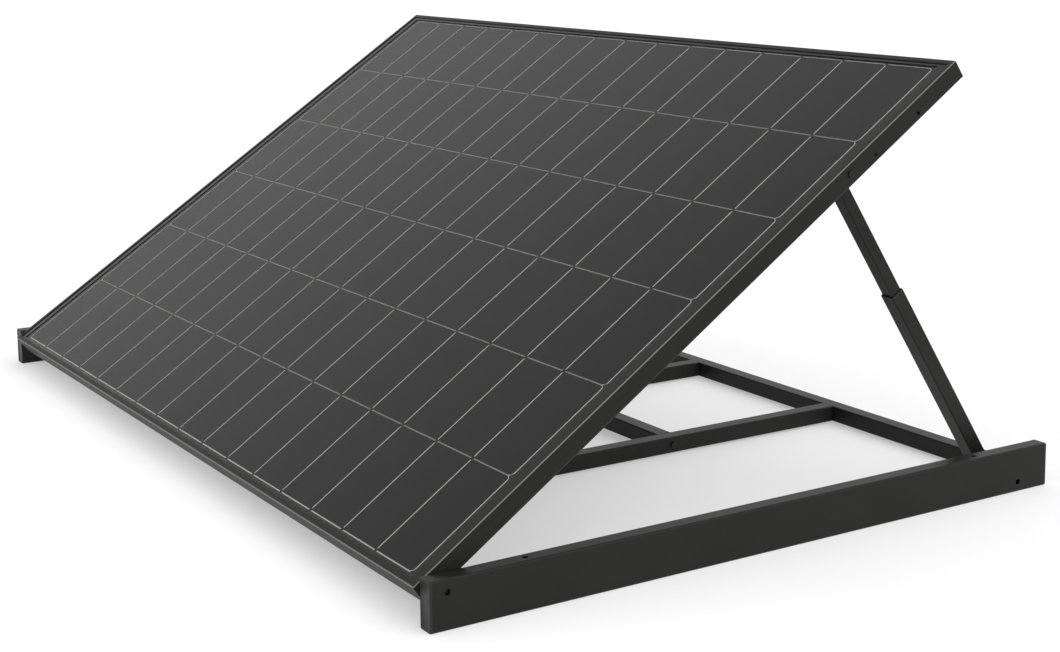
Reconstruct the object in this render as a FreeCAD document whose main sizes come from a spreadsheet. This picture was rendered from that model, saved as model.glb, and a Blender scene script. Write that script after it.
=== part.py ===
# Framed photovoltaic module on a tilting ground stand.
#
# The base is a flat grid of steel tubes between two tall side rails. The module
# hinges on a bolt through the front of each rail, and a telescopic strut on each
# side props up its rear.
#
# Millimetres. +X runs along the module's long side, +Y from its low front edge to
# the back, +Z up. The origin is on the ground under the middle of the whole stand.

import FreeCAD, Part
import os
import re
import Sketcher

SIZES = {
    # module, measured along its long side, up its slope and square to the glass
    "module_length": 1762, "module_width": 1134, "module_depth": 30, "tilt": 34.3,
    "frame_wall": 1.6, "lip_width": 9, "lip_thickness": 1.3, "groove_height": 5,
    "chamber_height": 7.3, "chamber_wall": 1.4, "flange_width": 28,
    "pane_inset": 4, "tape_thickness": 0.2, "glass_thickness": 3.2,
    "wafer_thickness": 0.2, "carrier_thickness": 0.2, "sheet_thickness": 1,
    "cell_length": 182, "cell_width": 104.2, "cell_pitch_x": 105.6,
    "cell_pitch_y": 183.1, "cell_corner": 3, "carrier_border": 0.6,
    "columns": 16, "rows": 6, "key_reach": 47, "key_gap": 0.2,
    "slot_near": 13.5, "slot_far": 22.5, "slot_length": 14, "slot_spacing": 1000,
    "drain_low": 929.4, "drain_high": 1030.1, "drain_drop": 21, "drain_radius": 2.5,
    "box_length": 62, "box_width": 40, "box_height": 15, "box_wall": 2, "box_inset": 190,
    "lid_thickness": 2, "gland_bore": 3, "gland_barrel": 4.4, "gland_flats": 14,
    "gland_length": 12,
    # tilt pivots and strut pivots
    "pivot_y": -531.5, "pivot_height": 52, "pivot_inset": 26, "pivot_drop": 23,
    "eye_slope": 874.8, "eye_drop": 14.8, "foot_y": 502.5, "foot_height": 16,
    "strut_x": 832, "pivot_radius": 4, "eye_bolt_radius": 3, "running_gap": 0.06,
    "bolt_start": 0.4, "pivot_recess": 4.5, "washer_radius": 9, "washer_thickness": 1.1,
    # fasteners: M6 in the base's joints, M8 at the pivots
    "small_shank": 2.95, "small_hole": 3.1, "small_flats": 10, "small_head": 4,
    "large_flats": 13, "large_head": 5.3, "nut_height": 6.5, "low_head": 2.5,
    # base: two side rails, and a grid of square tube between them
    "rail_x": 896.5, "rail_width": 28, "rail_height": 70, "rail_wall": 1.5,
    "rail_front": -557, "rail_rear": 566, "cap_flange": 3, "cap_plug": 12,
    "anchor_inset": 150, "anchor_radius": 4.5,
    "tube": 28, "tube_wall": 1.5, "tube_lift": 4, "bar_x": 413, "insert_length": 22,
    "front_bar_y": -473, "mid_bar_y": 167.5, "rear_bar_y": 538.3,
    "bracket_base": 32, "bracket_leg": 27, "bracket_width": 24, "bracket_gauge": 2.5,
    "bracket_bolt_inset": 18, "bracket_bolt_z": 50, "bracket_bolt_length": 12,
    # telescopic struts
    "lower_width": 28, "lower_depth": 25, "lower_tail": 8, "lower_reach": 380,
    "upper_width": 23.4, "upper_depth": 20.4, "upper_length": 330,
    "upper_drop": 18, "strut_wall": 1.5, "clamp_reach": 345, "clamp_offset": 2,
    "clamp_boss": 3, "clamp_head": 4.5, "boss_radius": 8, "clamp_hole": 3.2,
    "clamp_shank": 3, "clamp_radius": 7, "grip_radius": 1.5, "grip_circle": 7.6,
    "collar_flange": 3, "collar_skirt": 18, "collar_gap": 0.5, "bush_radius": 7,
    "eye_plug": 22, "eye_shoulder": 2, "lug_gauge": 8, "lug_reach": 12.3,
    "lug_end": 5.4, "lug_flat": 7.2, "lug_side": 2.2, "slot_reach": 9.2, "slot_end": 4,
    "spacer_radius": 5.5, "eye_nut_height": 5, "eye_nut_gap": 4.5,
}

doc = FreeCAD.newDocument("TiltingModule")
sheet = doc.addObject("Spreadsheet::Sheet", "Sizes")
for row, (alias, number) in enumerate(SIZES.items(), start=1):
    sheet.set(f"A{row}", alias)
    sheet.set(f"B{row}", str(number))
    sheet.setAlias(f"B{row}", alias)
doc.recompute()

SUB_PARTS = []

# Lines worked out from the driving sizes: the module's seat and the strut's length.
MODULE_Y = "(pivot_y - pivot_inset * cos(tilt) - pivot_drop * sin(tilt))"
MODULE_Z = "(pivot_height - pivot_inset * sin(tilt) + pivot_drop * cos(tilt))"
STRUT_RUN = f"(foot_y - {MODULE_Y} - eye_slope * cos(tilt) - eye_drop * sin(tilt))"
STRUT_RISE = f"({MODULE_Z} + eye_slope * sin(tilt) - eye_drop * cos(tilt) - foot_height)"
STRUT_LENGTH = f"sqrt({STRUT_RUN} ^ 2 + {STRUT_RISE} ^ 2)"
TUBE_MIDDLE = "(tube_lift + tube / 2)"
PANE_LENGTH = "(module_length - 2 * pane_inset)"
PANE_WIDTH = "(module_width - 2 * pane_inset)"


def bind(text):
    """An expression in the sheet's aliases, as the document's engine reads it."""
    return re.sub(r"[a-z_]+\b(?!\()", lambda word: "Sizes." + word[0]
                  if word[0] in SIZES else word[0], str(text))


def number(text):
    """The value of such an expression now."""
    return float(sheet.evalExpression(bind(text)))


def place(item, x=0, y=0, z=0, about="0; 0; 1", angle=0, seat=None):
    """Put an object at x, y, z, turned about an axis, on a seat or on the ground."""
    spot = f"vector({bind(x)}; {bind(y)}; {bind(z)})"
    turn = f"rotation(vector({about}); {bind(angle)})"
    on = f"{seat}.Placement * " if seat else ""
    item.setExpression("Placement", f"{on}placement({spot}; {turn})")
    return item


def sub_part(item, label):
    """Name a finished piece, and list it to be written out."""
    item.Label = label
    SUB_PARTS.append(item)
    return item


def new_body(label):
    name = "".join(word.capitalize() for word in label.split("_"))
    return sub_part(doc.addObject("PartDesign::Body", name), label)


def new_sketch(body, plane, offset=None):
    """A sketch on one of the body's own planes, moved off it by offset."""
    sketch = body.newObject("Sketcher::SketchObject", "Sketch")
    for feature in body.Origin.OriginFeatures:
        if feature.Role == plane:
            sketch.AttachmentSupport = [(feature, "")]
    sketch.MapMode = "FlatFace"
    if offset is not None:
        sketch.setExpression("AttachmentOffset.Base.z", bind(offset))
    return sketch


def fix(sketch, kind, first, point, text):
    """Hold one size of the sketch to an expression."""
    value = number(text)
    if kind == "Radius":
        index = sketch.addConstraint(Sketcher.Constraint(kind, first, value))
    else:
        index = sketch.addConstraint(Sketcher.Constraint(kind, -1, 1, first, point, value))
    sketch.setExpression(f"Constraints[{index}]", bind(text))


def polygon(sketch, corners):
    """A closed outline, each corner held by its distances from the origin."""
    points = [FreeCAD.Vector(number(x), number(y), 0) for x, y in corners]
    first = sketch.GeometryCount
    for start, end in zip(points, points[1:] + points[:1]):
        sketch.addGeometry(Part.LineSegment(start, end), False)
    count = len(corners)
    for index in range(count):
        after = first + (index + 1) % count
        sketch.addConstraint(Sketcher.Constraint("Coincident", first + index, 2, after, 1))
    for index, (x, y) in enumerate(corners):
        fix(sketch, "DistanceX", first + index, 1, x)
        fix(sketch, "DistanceY", first + index, 1, y)


def rectangle(sketch, width, height):
    """A rectangle about the sketch's origin."""
    left, right = f"-({width}) / 2", f"({width}) / 2"
    low, high = f"-({height}) / 2", f"({height}) / 2"
    polygon(sketch, [(left, low), (right, low), (right, high), (left, high)])


def circle(sketch, x, y, radius):
    """A round hole or boss."""
    centre = FreeCAD.Vector(number(x), number(y), 0)
    up = FreeCAD.Vector(0, 0, 1)
    index = sketch.addGeometry(Part.Circle(centre, up, number(radius)), False)
    fix(sketch, "DistanceX", index, 3, x)
    fix(sketch, "DistanceY", index, 3, y)
    fix(sketch, "Radius", index, 0, radius)


def pad(body, sketch, length, backwards=False):
    feature = body.newObject("PartDesign::Pad", "Pad")
    feature.Profile = sketch
    feature.setExpression("Length", bind(length))
    feature.Reversed = backwards
    doc.recompute()
    return feature


def pocket(body, sketch, length=None, backwards=False):
    """Cut a sketch to a length, or both ways through the whole body."""
    before = body.Tip.Shape.Volume
    feature = body.newObject("PartDesign::Pocket", "Pocket")
    feature.Profile = sketch
    if length is None:
        feature.Type = "ThroughAll"
        feature.Midplane = True
    else:
        feature.setExpression("Length", bind(length))
        feature.Reversed = backwards
    doc.recompute()
    if feature.Shape.Volume >= before:
        raise RuntimeError(f"{body.Label}: a pocket cut nothing")
    return feature


def soften(body, radius, wanted):
    """Round the straight edges of the body that the test picks."""
    base = body.Tip
    names = []
    for index, edge in enumerate(base.Shape.Edges, start=1):
        if len(edge.Vertexes) == 2 and wanted(edge.Vertexes[0].Point, edge.Vertexes[1].Point):
            names.append(f"Edge{index}")
    feature = body.newObject("PartDesign::Fillet", "Fillet")
    feature.Base = (base, names)
    feature.setExpression("Radius", bind(radius))
    doc.recompute()


def outer_edges(width, height):
    """A test for the four long outside edges of a tube along Z."""
    def wanted(start, end):
        along = abs(start.x - end.x) + abs(start.y - end.y) < 0.01
        across = abs(abs(start.x) - number(width) / 2) < 0.01
        return along and across and abs(abs(start.y) - number(height) / 2) < 0.01
    return wanted


def square_tube(label, width, height, wall, length, radius=2):
    """A thin-walled tube along its own Z, standing on its XY plane."""
    body = new_body(label)
    sketch = new_sketch(body, "XY_Plane")
    rectangle(sketch, width, height)
    rectangle(sketch, f"{width} - 2 * {wall}", f"{height} - 2 * {wall}")
    pad(body, sketch, length)
    soften(body, radius, outer_edges(width, height))
    return body


def drill(body, plane, holes, offset=None, length=None, backwards=False):
    """Round holes square to one of the body's planes."""
    sketch = new_sketch(body, plane, offset)
    for x, y, radius in holes:
        circle(sketch, x, y, radius)
    pocket(body, sketch, length, backwards)


def cylinder(name, radius, height, **where):
    item = doc.addObject("Part::Cylinder", name)
    item.setExpression("Radius", bind(radius))
    item.setExpression("Height", bind(height))
    return place(item, **where)


def box(name, length, width, height, **where):
    item = doc.addObject("Part::Box", name)
    item.setExpression("Length", bind(length))
    item.setExpression("Width", bind(width))
    item.setExpression("Height", bind(height))
    return place(item, **where)


def hexagon(name, across_flats, height, **where):
    item = doc.addObject("Part::Prism", name)
    item.Polygon = 6
    item.setExpression("Circumradius", f"({bind(across_flats)}) / 2 / cos(30)")
    item.setExpression("Height", bind(height))
    return place(item, **where)


def fuse(name, *shapes):
    item = doc.addObject("Part::MultiFuse", name)
    item.Shapes = list(shapes)
    return item


def cut(name, base, *tools):
    """Take the tools away from the base, one cut for all of them."""
    item = doc.addObject("Part::Cut", name)
    item.Base = base
    item.Tool = tools[0] if len(tools) == 1 else fuse(name + "Tools", *tools)
    return item


def group(label, pieces):
    """Identical loose pieces that share one name."""
    item = doc.addObject("Part::Compound", label.title().replace("_", ""))
    item.Links = pieces
    return sub_part(item, label)


def bolt(name, radius, length, flats, head, **where):
    """A hexagon bolt: its head below its own origin, its shank up Z."""
    shank = cylinder(name + "Shank", radius, length)
    top = hexagon(name + "Head", flats, head, z=f"-({head})")
    return place(fuse(name, shank, top), **where)


def sleeve(name, outer, inner, length, **where):
    """A plain ring or tube: a washer, spacer, bush or nut body."""
    return place(cut(name, cylinder(name + "Outside", outer, length),
                     cylinder(name + "Bore", inner, length)), **where)


def nut(name, flats, thickness, bore, **where):
    body = hexagon(name + "Outside", flats, thickness)
    return place(cut(name, body, cylinder(name + "Bore", bore, thickness)), **where)


# The seats that the module and the two struts are built on.
module_seat = doc.addObject("App::Placement", "ModuleSeat")
place(module_seat, 0, MODULE_Y, MODULE_Z, "1; 0; 0", "tilt")
STRUTS = {"left": ("StrutSeatLeft", -1), "right": ("StrutSeatRight", 1)}
for seat, sign in STRUTS.values():
    place(doc.addObject("App::Placement", seat), f"{sign} * strut_x", "foot_y", "foot_height",
          "1; 0; 0", f"atan2({STRUT_RUN}; {STRUT_RISE})")


# ---- module frame: four mitred lengths of one extrusion, keyed at the corners ----

def frame_member(label, length, web_holes=(), flange_slots=False, **where):
    """Extrusion with its outer web on X = 0, its top at Z = 0, and length along Y."""
    body = new_body(label)
    sketch = new_sketch(body, "XZ_Plane")
    groove = "-(lip_thickness + groove_height)"
    chamber = "-(lip_thickness + groove_height + chamber_wall)"
    shelf = f"({chamber} - chamber_height)"
    floor = "-(module_depth - frame_wall)"
    polygon(sketch, [
        ("0", "0"), ("lip_width", "0"), ("lip_width", "-lip_thickness"),
        ("frame_wall", "-lip_thickness"), ("frame_wall", groove), ("lip_width", groove),
        ("lip_width", f"{shelf} - chamber_wall"), ("frame_wall", f"{shelf} - chamber_wall"),
        ("frame_wall", floor), ("flange_width", floor),
        ("flange_width", "-module_depth"), ("0", "-module_depth")])
    polygon(sketch, [
        ("frame_wall", chamber), ("lip_width - chamber_wall", chamber),
        ("lip_width - chamber_wall", shelf), ("frame_wall", shelf)])
    pad(body, sketch, length, backwards=True)
    soften(body, 0.6, lambda start, end: abs(start.x) + abs(end.x) < 0.01
           and abs(start.z - end.z) < 0.01)
    mitres = new_sketch(body, "XY_Plane")
    reach = "(flange_width + 2)"
    polygon(mitres, [("0", "0"), (reach, "0"), (reach, reach)])
    polygon(mitres, [("0", length), (reach, length), (reach, f"{length} - {reach}")])
    pocket(body, mitres)
    if web_holes:
        drill(body, "YZ_Plane", web_holes)
    if flange_slots:
        cut_flange_slots(body, length)
    return place(body, seat="ModuleSeat", **where)


def cut_flange_slots(body, length):
    """Two standard mounting slots through the bottom flange."""
    sketch = new_sketch(body, "XY_Plane", "-(module_depth + 1)")
    for side in (-1, 1):
        middle = f"({length} / 2 + {side} * slot_spacing / 2)"
        low, high = f"{middle} - slot_length / 2", f"{middle} + slot_length / 2"
        polygon(sketch, [("slot_near", low), ("slot_far", low),
                         ("slot_far", high), ("slot_near", high)])
    pocket(body, sketch, "frame_wall + 2", backwards=True)


def side_holes(along):
    """Pivot, strut bolt and drain holes of a short frame member."""
    return [(along("pivot_inset"), "-pivot_drop", "pivot_radius + running_gap"),
            (along("eye_slope"), "-eye_drop", "eye_bolt_radius + 0.1"),
            (along("drain_low"), "-drain_drop", "drain_radius"),
            (along("drain_high"), "-drain_drop", "drain_radius + 0.5")]


frame_member("module_frame_left", "module_width", side_holes(lambda v: v),
             x="-module_length / 2")
frame_member("module_frame_right", "module_width", side_holes(lambda v: f"module_width - {v}"),
             x="module_length / 2", y="module_width", angle=180)
frame_member("module_frame_front", "module_length", flange_slots=True,
             x="module_length / 2", angle=90)
frame_member("module_frame_rear", "module_length", flange_slots=True,
             x="-module_length / 2", y="module_width", angle=-90)


def corner_key(name, x, y, angle):
    """An L of aluminium that joins two members inside their chambers."""
    body = doc.addObject("PartDesign::Body", name)
    sketch = new_sketch(body, "XY_Plane", "-(lip_thickness + groove_height + chamber_wall"
                                          " + chamber_height - key_gap)")
    near, reach = "(frame_wall + key_gap)", "key_reach"
    far = "(lip_width - chamber_wall - key_gap)"
    polygon(sketch, [(near, near), (reach, near), (reach, far),
                     (far, far), (far, reach), (near, reach)])
    pad(body, sketch, "chamber_height - 2 * key_gap")
    return place(body, x, y, 0, angle=angle, seat="ModuleSeat")


group("module_corner_keys", [
    corner_key("KeyFrontLeft", "-module_length / 2", "0", 0),
    corner_key("KeyFrontRight", "module_length / 2", "0", 90),
    corner_key("KeyRearRight", "module_length / 2", "module_width", 180),
    corner_key("KeyRearLeft", "-module_length / 2", "module_width", 270)])


# ---- laminate: glass, wafers, the film that carries them, and the rear sheet ----

GLASS_TOP = "-(lip_thickness + tape_thickness)"
WAFER_TOP = f"({GLASS_TOP} - glass_thickness)"
CARRIER_TOP = f"({WAFER_TOP} - wafer_thickness)"
SHEET_TOP = f"({CARRIER_TOP} - carrier_thickness)"


def layer(label, length, width, thickness, top):
    """A flat layer of the laminate, centred in the frame."""
    item = box(label.title().replace("_", ""), length, width, thickness,
               x=f"-({length}) / 2", y=f"module_width / 2 - ({width}) / 2",
               z=f"{top} - ({thickness})", seat="ModuleSeat")
    return sub_part(item, label)


layer("front_glass", PANE_LENGTH, PANE_WIDTH, "glass_thickness", GLASS_TOP)
layer("cell_carrier_film", "columns * cell_pitch_x + 2 * carrier_border",
      "rows * cell_pitch_y + 2 * carrier_border", "carrier_thickness", CARRIER_TOP)
layer("rear_sheet", PANE_LENGTH, PANE_WIDTH, "sheet_thickness", SHEET_TOP)


def half_cell_wafers():
    """Ninety-six half-cell wafers in sixteen columns and six rows."""
    half_x, half_y = number("cell_width") / 2, number("cell_length") / 2
    nip = number("cell_corner")
    outline = [(-half_x + nip, -half_y), (half_x - nip, -half_y), (half_x, -half_y + nip),
               (half_x, half_y - nip), (half_x - nip, half_y), (-half_x + nip, half_y),
               (-half_x, half_y - nip), (-half_x, -half_y + nip)]
    bottom = number(CARRIER_TOP)
    wire = Part.makePolygon([FreeCAD.Vector(x, y, bottom) for x, y in outline + outline[:1]])
    wafer = Part.Face(wire).extrude(FreeCAD.Vector(0, 0, number("wafer_thickness")))
    columns, lines = int(number("columns")), int(number("rows"))
    wafers = []
    for column in range(columns):
        for line in range(lines):
            across = (column - (columns - 1) / 2) * number("cell_pitch_x")
            upward = (number("module_width") / 2
                      + (line - (lines - 1) / 2) * number("cell_pitch_y"))
            wafers.append(wafer.translated(FreeCAD.Vector(across, upward, 0)))
    item = doc.addObject("Part::Feature", "Wafers")
    item.Shape = Part.makeCompound(wafers)
    place(item, seat="ModuleSeat")
    return sub_part(item, "half_cell_wafers")


half_cell_wafers()


def glazing_tape():
    """Sealant tape that fills the frame's groove round the edge of the laminate."""
    length, width = "(module_length - 2 * frame_wall)", "(module_width - 2 * frame_wall)"
    outside = box("TapeOutside", length, width, "groove_height", x=f"-{length} / 2",
                  y="frame_wall", z="-(lip_thickness + groove_height)")
    pane = box("TapePane", PANE_LENGTH, PANE_WIDTH, "groove_height - 2 * tape_thickness",
               x=f"-{PANE_LENGTH} / 2", y="pane_inset",
               z="-(lip_thickness + groove_height - tape_thickness)")
    inner_length = "(module_length - 2 * lip_width)"
    inner = box("TapeInner", inner_length, "module_width - 2 * lip_width", "groove_height",
                x=f"-{inner_length} / 2", y="lip_width",
                z="-(lip_thickness + groove_height)")
    item = place(cut("GlazingTape", outside, pane, inner), seat="ModuleSeat")
    return sub_part(item, "glazing_tape")


glazing_tape()


# ---- junction boxes on the back of the laminate ----

BOX_TOP = f"({SHEET_TOP} - sheet_thickness)"
BOX_FLOOR = f"({BOX_TOP} - box_height)"
BOXES = {"low": "box_inset", "middle": "module_width / 2", "high": "module_width - box_inset"}


def junction_box(label, slope, gland_side):
    """A shallow tray glued to the rear sheet, open towards its lid."""
    body = new_body(label)
    sketch = new_sketch(body, "XY_Plane", BOX_FLOOR)
    rectangle(sketch, "box_length", "box_width")
    pad(body, sketch, "box_height")
    soften(body, 4, outer_edges("box_length", "box_width"))
    hollow = new_sketch(body, "XY_Plane", BOX_FLOOR)
    rectangle(hollow, "box_length - 2 * box_wall", "box_width - 2 * box_wall")
    pocket(body, hollow, "box_height - box_wall", backwards=True)
    if gland_side:
        drill(body, "XZ_Plane", [("0", f"{BOX_FLOOR} + box_height / 2", "gland_barrel + 0.1")],
              offset=f"{-gland_side} * (box_width / 2 + 1)", length="box_wall + 2",
              backwards=gland_side > 0)
    return place(body, y=slope, seat="ModuleSeat")


junction_box("junction_box_low", BOXES["low"], -1)
junction_box("junction_box_middle", BOXES["middle"], 0)
junction_box("junction_box_high", BOXES["high"], 1)


def box_lid(slope, name):
    """A snap-on lid over the tray's open face."""
    return box(name, "box_length", "box_width", "lid_thickness", x="-box_length / 2",
               y=f"{slope} - box_width / 2", z=f"{BOX_FLOOR} - lid_thickness",
               seat="ModuleSeat")


def bypass_diode(slope, name):
    """A flat diode on its heat spreader, inside the tray."""
    top = f"{BOX_TOP} - box_wall"
    spreader = box(name + "Spreader", 40, 22, 1, x="-20", y="-11", z=f"{top} - 1")
    chip = box(name + "Chip", 14, 10, 4, x="-7", y="-5", z=f"{top} - 5")
    return place(fuse(name, spreader, chip), y=slope, seat="ModuleSeat")


def cable_gland(slope, gland_side, name):
    """A threaded gland with a bore for a lead, in the outer wall of the tray."""
    barrel = sleeve(name + "Barrel", "gland_barrel", "gland_bore", "box_wall + 2")
    collar = nut(name + "Collar", "gland_flats", "gland_length", "gland_bore", z="box_wall")
    middle = f"{BOX_FLOOR} + box_height / 2"
    start = f"({slope}) + {gland_side} * (box_width / 2 - box_wall)"
    return place(fuse(name, barrel, collar), y=start, z=middle, about="1; 0; 0",
                 angle=-90 * gland_side, seat="ModuleSeat")


group("junction_box_lids", [box_lid(slope, f"Lid{place_name.title()}")
                            for place_name, slope in BOXES.items()])
group("bypass_diodes", [bypass_diode(slope, f"Diode{place_name.title()}")
                        for place_name, slope in BOXES.items()])
group("cable_glands", [cable_gland(BOXES["low"], -1, "GlandLow"),
                       cable_gland(BOXES["high"], 1, "GlandHigh")])


# ---- base: side rails with end caps ----

RAIL_LENGTH = "(rail_rear - rail_front - 2 * cap_flange)"


def side_rail(label, sign):
    """Box rail along Y, drilled for the pivots, the ground anchors and the grid."""
    body = square_tube(label, "rail_width", "rail_height", "rail_wall", RAIL_LENGTH, 3)
    start = "(rail_front + cap_flange)"
    middle = "rail_height / 2"
    drill(body, "YZ_Plane", [
        (f"{middle} - pivot_height", f"pivot_y - {start}", "pivot_radius + 0.5"),
        (f"{middle} - foot_height", f"foot_y - {start}", "pivot_radius + 0.5")])
    drill(body, "XZ_Plane", [
        ("0", "anchor_inset - cap_flange", "anchor_radius"),
        ("0", f"{RAIL_LENGTH} + cap_flange - anchor_inset", "anchor_radius")])
    inner = "-(rail_width / 2 - rail_wall - 0.5)" if sign > 0 else "(rail_width / 2 + 0.5)"
    drill(body, "YZ_Plane", [(f"{middle} - bracket_bolt_z", f"{y} - {start}", "small_hole")
                             for y in ("front_bar_y", "rear_bar_y")],
          offset=inner, length="rail_wall + 1")
    return place(body, f"{sign} * rail_x", start, middle, "1; 0; 0", -90)


def rail_cap(label, sign, rear):
    """Moulded plug: a rounded flange over the rail's end and a plug inside it."""
    body = new_body(label)
    flange = new_sketch(body, "XY_Plane")
    rectangle(flange, "rail_width", "rail_height")
    pad(body, flange, "cap_flange")
    soften(body, 3, outer_edges("rail_width", "rail_height"))
    plug = new_sketch(body, "XY_Plane")
    rectangle(plug, "rail_width - 2 * rail_wall - 0.2", "rail_height - 2 * rail_wall - 0.2")
    pad(body, plug, "cap_plug", backwards=True)
    end, angle = ("rail_rear - cap_flange", -90) if rear else ("rail_front + cap_flange", 90)
    return place(body, f"{sign} * rail_x", end, "rail_height / 2", "1; 0; 0", angle)


for side, sign in (("left", -1), ("right", 1)):
    side_rail(f"side_rail_{side}", sign)
    rail_cap(f"rail_cap_front_{side}", sign, rear=False)
    rail_cap(f"rail_cap_rear_{side}", sign, rear=True)


# ---- base: the grid of square tube that holds the ballast slabs ----

CROSS_LENGTH = "(2 * rail_x - rail_width)"
LONG_LENGTH = "(rear_bar_y - front_bar_y - tube)"
SHORT_LENGTH = "(bar_x - tube)"


def crossbar(label, y):
    """Tube along X between the rails, drilled for its brackets and the long bars."""
    body = square_tube(label, "tube", "tube", "tube_wall", CROSS_LENGTH)
    drill(body, "XZ_Plane", [("0", f"{CROSS_LENGTH} / 2 + {step} * bar_x", "small_hole")
                             for step in (-1, 0, 1)])
    drill(body, "YZ_Plane", [("0", "bracket_bolt_inset", "small_hole"),
                             ("0", f"{CROSS_LENGTH} - bracket_bolt_inset", "small_hole")],
          offset="tube_wall - tube / 2 + 0.5", length="tube_wall + 1")
    return place(body, f"-{CROSS_LENGTH} / 2", y, TUBE_MIDDLE, "0; 1; 0", 90)


crossbar("front_crossbar", "front_bar_y")
crossbar("rear_crossbar", "rear_bar_y")


def long_bar(label, step):
    """Tube along Y between the two crossbars, drilled across for the mid bars."""
    body = square_tube(label, "tube", "tube", "tube_wall", LONG_LENGTH)
    drill(body, "YZ_Plane", [("0", "mid_bar_y - front_bar_y - tube / 2", "small_hole")])
    return place(body, f"{step} * bar_x", "front_bar_y + tube / 2", TUBE_MIDDLE,
                 "1; 0; 0", -90)


for side, step in (("left", -1), ("middle", 0), ("right", 1)):
    long_bar(f"long_bar_{side}", step)

for side, start in (("left", "-bar_x + tube / 2"), ("right", "tube / 2")):
    bar = square_tube(f"mid_bar_{side}", "tube", "tube", "tube_wall", SHORT_LENGTH)
    place(bar, start, "mid_bar_y", TUBE_MIDDLE, "0; 1; 0", 90)


def end_insert(name, **where):
    """Threaded nylon block pressed into the end of a tube, which a bolt screws into."""
    inside = "(tube - 2 * tube_wall - 0.2)"
    block = box(name + "Block", inside, inside, "insert_length",
                x=f"-{inside} / 2", y=f"-{inside} / 2")
    thread = cylinder(name + "Thread", "small_shank", "insert_length")
    return place(cut(name, block, thread), **where)


def long_bar_ends():
    """Where the long bars meet the crossbars: the joint's place and its turn."""
    for step in (-1, 0, 1):
        yield f"{step} * bar_x", "front_bar_y + tube / 2", -90
        yield f"{step} * bar_x", "rear_bar_y - tube / 2", 90


def mid_bar_ends():
    """Where the mid bars meet the long bars."""
    for x, angle in (("-bar_x + tube / 2", 90), ("-tube / 2", -90),
                     ("tube / 2", 90), ("bar_x - tube / 2", -90)):
        yield x, "mid_bar_y", angle


group("tube_end_inserts", [
    end_insert(f"LongInsert{index}", x=x, y=y, z=TUBE_MIDDLE, about="1; 0; 0", angle=angle)
    for index, (x, y, angle) in enumerate(long_bar_ends())] + [
    end_insert(f"MidInsert{index}", x=x, y=y, z=TUBE_MIDDLE, about="0; 1; 0", angle=angle)
    for index, (x, y, angle) in enumerate(mid_bar_ends())])


def small_bolt(name, length, **where):
    return bolt(name, "small_shank", length, "small_flats", "small_head", **where)


SCREWED_IN = "(insert_length - 2)"
group("long_bar_bolts", [
    small_bolt(f"LongBolt{index}", f"tube + {SCREWED_IN}", x=x, z=TUBE_MIDDLE,
               y=f"{y} - tube" if angle < 0 else f"{y} + tube", about="1; 0; 0", angle=angle)
    for index, (x, y, angle) in enumerate(long_bar_ends())])

group("mid_bar_bolts", [
    small_bolt("MidBoltLeft", f"tube + {SCREWED_IN}", x="-bar_x - tube / 2", y="mid_bar_y",
               z=TUBE_MIDDLE, about="0; 1; 0", angle=90),
    small_bolt("MidBoltRight", f"tube + {SCREWED_IN}", x="bar_x + tube / 2", y="mid_bar_y",
               z=TUBE_MIDDLE, about="0; 1; 0", angle=-90)])

group("mid_bar_studs", [
    cylinder("MidStud", "small_shank", f"tube + 2 * {SCREWED_IN}",
             x=f"-tube / 2 - {SCREWED_IN}", y="mid_bar_y", z=TUBE_MIDDLE,
             about="0; 1; 0", angle=90)])


RAIL_INSIDE = "(rail_x - rail_width / 2)"


def corner_bracket(name, sign, y):
    """Angle of 2.5 mm steel: one leg on the rail, the other on top of the crossbar."""
    top = "(tube_lift + tube)"
    base = box(name + "Base", "bracket_base", "bracket_width", "bracket_gauge",
               x=f"{RAIL_INSIDE} - bracket_base", y="-bracket_width / 2", z=top)
    leg = box(name + "Leg", "bracket_gauge", "bracket_width", "bracket_leg",
              x=f"{RAIL_INSIDE} - bracket_gauge", y="-bracket_width / 2", z=top)
    down = cylinder(name + "Down", "small_hole", "bracket_gauge + 0.5",
                    x=f"{RAIL_INSIDE} - bracket_bolt_inset", z=f"{top} - 0.2")
    side = cylinder(name + "Side", "small_hole", "bracket_gauge + 0.5",
                    x=f"{RAIL_INSIDE} - bracket_gauge - 0.2", z="bracket_bolt_z",
                    about="0; 1; 0", angle=90)
    bracket = cut(name, fuse(name + "Angle", base, leg), down, side)
    return place(bracket, y=y, angle=0 if sign > 0 else 180)


CORNERS = [(1, "front_bar_y"), (1, "rear_bar_y"), (-1, "front_bar_y"), (-1, "rear_bar_y")]
group("corner_brackets", [corner_bracket(f"Bracket{index}", sign, y)
                          for index, (sign, y) in enumerate(CORNERS)])


def bracket_bolts():
    """One bolt down into the crossbar and one out into the rail at each corner."""
    for index, (sign, y) in enumerate(CORNERS):
        yield small_bolt(f"BracketDown{index}", "bracket_bolt_length", y=y,
                         x=f"{sign} * ({RAIL_INSIDE} - bracket_bolt_inset)",
                         z="tube_lift + tube + bracket_gauge", about="1; 0; 0", angle=180)
        yield small_bolt(f"BracketOut{index}", "bracket_bolt_length", y=y,
                         x=f"{sign} * ({RAIL_INSIDE} - bracket_gauge)",
                         z="bracket_bolt_z", about="0; 1; 0", angle=90 * sign)


group("bracket_bolts", list(bracket_bolts()))


# ---- tilt pivots: a bolt through the module frame and the rail on each side ----

FRAME_INSIDE = "(module_length / 2 - frame_wall)"

for side, sign in (("left", -1), ("right", 1)):
    pivot = bolt(f"PivotBolt{side.title()}", "pivot_radius",
                 f"rail_x + rail_width / 2 - pivot_recess - {FRAME_INSIDE} + bolt_start",
                 "small_flats - 1", "small_head",
                 x=f"{sign} * ({FRAME_INSIDE} - bolt_start)", y="pivot_y",
                 z="pivot_height", about="0; 1; 0", angle=90 * sign)
    sub_part(pivot, f"pivot_bolt_{side}")

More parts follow.
